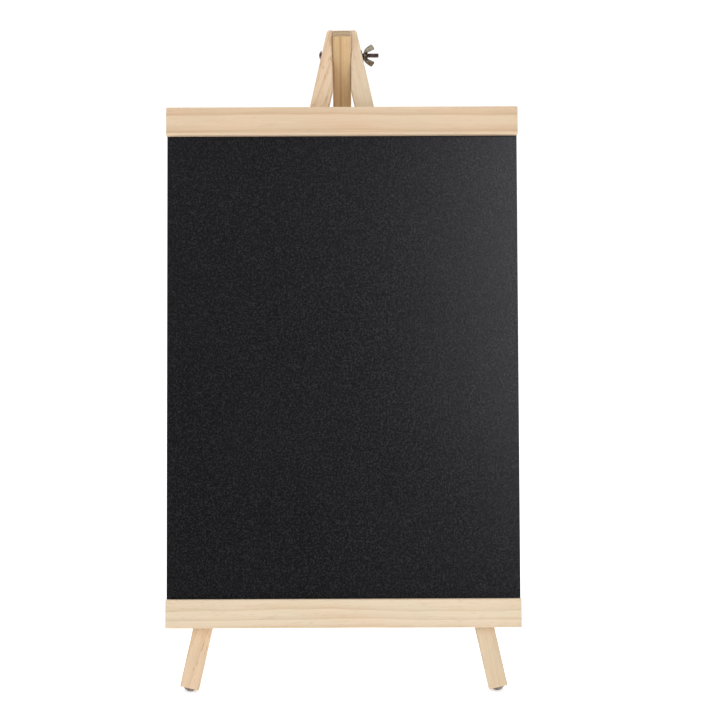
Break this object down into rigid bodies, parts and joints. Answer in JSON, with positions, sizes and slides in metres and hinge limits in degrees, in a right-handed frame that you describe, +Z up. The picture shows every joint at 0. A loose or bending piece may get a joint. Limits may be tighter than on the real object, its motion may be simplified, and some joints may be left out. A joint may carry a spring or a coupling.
{
  "type": "menu chalkboard easel",
  "caption": "Tabletop menu chalkboard on a folding wooden easel, with a rear leg that swings on a wing-nut clamp.",
  "frame": {"origin": "centre of the overall box's footprint, on the surface that the three glides stand on", "axes": "+Z up, +X to the right of a person who reads the board, -Y towards that person; the pivot bolt lies along X"},
  "size_m": [0.3, 0.3132, 0.5552],
  "materials": {
    "leg_pine": "unfinished planed pine, fine straight grain",
    "rail_pine": "unfinished planed pine with short resin flecks",
    "chalkboard": "hardboard with matte black chalkboard paint on its front and edges",
    "bolt_steel": "dull zinc-plated steel",
    "wing_nut_steel": "zinc-plated forged steel, slightly yellowed",
    "glide_nickel": "nickel-plated pressed steel",
    "screw_steel": "yellow zinc-plated steel"
  },
  "bodies": {
    "front_frame": {"front_leg_left": "leg_pine", "front_leg_right": "leg_pine", "top_rail": "rail_pine", "bottom_rail": "rail_pine", "chalk_panel": "chalkboard", "pivot_bolt": "bolt_steel", "foot_glide_front_left": "glide_nickel", "foot_glide_front_right": "glide_nickel", "rail_screw_top_left": "screw_steel", "rail_screw_top_right": "screw_steel", "rail_screw_bottom_left": "screw_steel", "rail_screw_bottom_right": "screw_steel"},
    "rear_support": {"rear_leg": "leg_pine", "foot_glide_rear": "glide_nickel"},
    "loose_washer": {"clamp_washer": "bolt_steel"},
    "wing_nut": {"wing_nut": "wing_nut_steel"}
  },
  "joints": [
    {"name": "rear_leg_fold", "type": "hinge", "parent": "front_frame", "child": "rear_support", "pos_m": [0, -0.03329, 0.53333], "axis": [1, 0, 0], "range_deg": [-30.5, 59]},
    {"name": "nut_travel", "type": "slide", "parent": "front_frame", "child": "loose_washer", "axis": [1, 0, 0], "range_m": [0, 0.007]},
    {"name": "wing_nut_spin", "type": "hinge", "parent": "loose_washer", "child": "wing_nut", "pos_m": [0, -0.03329, 0.53333], "axis": [1, 0, 0], "range_deg": [0, 3601]}
  ],
  "couplings": [
    {"joint": "wing_nut_spin", "follows": "nut_travel", "rad_per_m": 8976}
  ]
}
